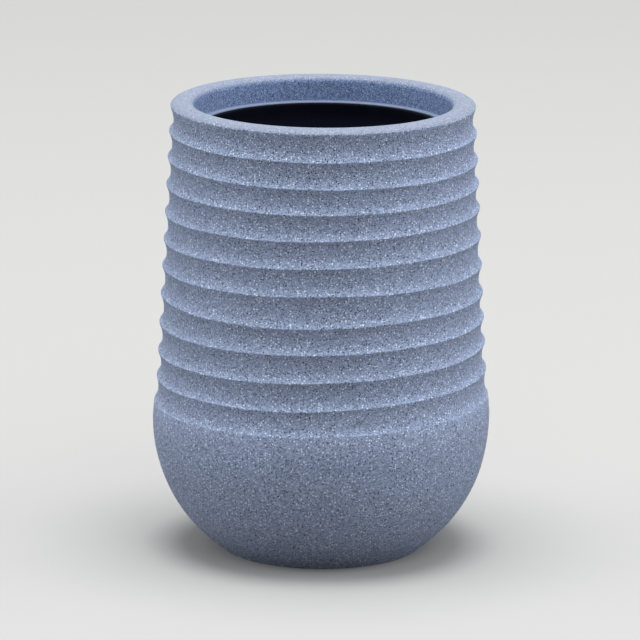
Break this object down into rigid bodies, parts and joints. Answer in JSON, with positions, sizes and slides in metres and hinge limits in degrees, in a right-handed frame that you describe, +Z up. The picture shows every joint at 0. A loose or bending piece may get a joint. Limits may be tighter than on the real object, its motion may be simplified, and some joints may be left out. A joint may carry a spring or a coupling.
{
  "type": "tall round planter",
  "caption": "Tall round planter with a ribbed stone-effect shell, a smooth bowl foot and a lift-out planting liner with bail handles, a drainage grid and a drain plug.",
  "frame": {"origin": "centre of the base, on the surface that the planter stands on", "axes": "+Z up along the planter's axis, -Y towards the viewer of the picture, +X to the viewer's right"},
  "size_m": [0.3724, 0.3724, 0.5],
  "materials": {
    "stone_effect_shell": "blue-grey stone effect with fine light and dark flecks, matt and slightly gritty",
    "black_liner": "black moulded plastic, satin",
    "bail_wire": "bright galvanised wire",
    "bail_grip": "black moulded grip, satin",
    "grid_plastic": "dark grey moulded plastic",
    "plug_rubber": "black rubber, matt",
    "washer_rubber": "dark grey sealing rubber, matt"
  },
  "bodies": {
    "shell": {"outer_shell": "stone_effect_shell"},
    "liner": {"inner_liner": "black_liner"},
    "left_handle": {"left_bail": "bail_wire", "left_grip": "bail_grip"},
    "right_handle": {"right_bail": "bail_wire", "right_grip": "bail_grip"},
    "grid": {"drainage_grid": "grid_plastic"},
    "plug": {"drain_plug": "plug_rubber", "plug_washer": "washer_rubber"}
  },
  "joints": [
    {"name": "liner_lift", "type": "slide", "parent": "shell", "child": "liner", "axis": [0, 0, 1], "range_m": [0, 0.5]},
    {"name": "left_bail_fold", "type": "hinge", "parent": "liner", "child": "left_handle", "pos_m": [-0.10579, 0, 0.4555], "axis": [0, -1, 0], "range_deg": [0, 180]},
    {"name": "right_bail_fold", "type": "hinge", "parent": "liner", "child": "right_handle", "pos_m": [0.10579, 0, 0.4555], "axis": [0, 1, 0], "range_deg": [0, 180]},
    {"name": "grid_lift", "type": "slide", "parent": "liner", "child": "grid", "axis": [0, 0, 1], "range_m": [0, 0.46]},
    {"name": "plug_pull", "type": "slide", "parent": "shell", "child": "plug", "axis": [0, 0, -1], "range_m": [0, 0.025]}
  ]
}
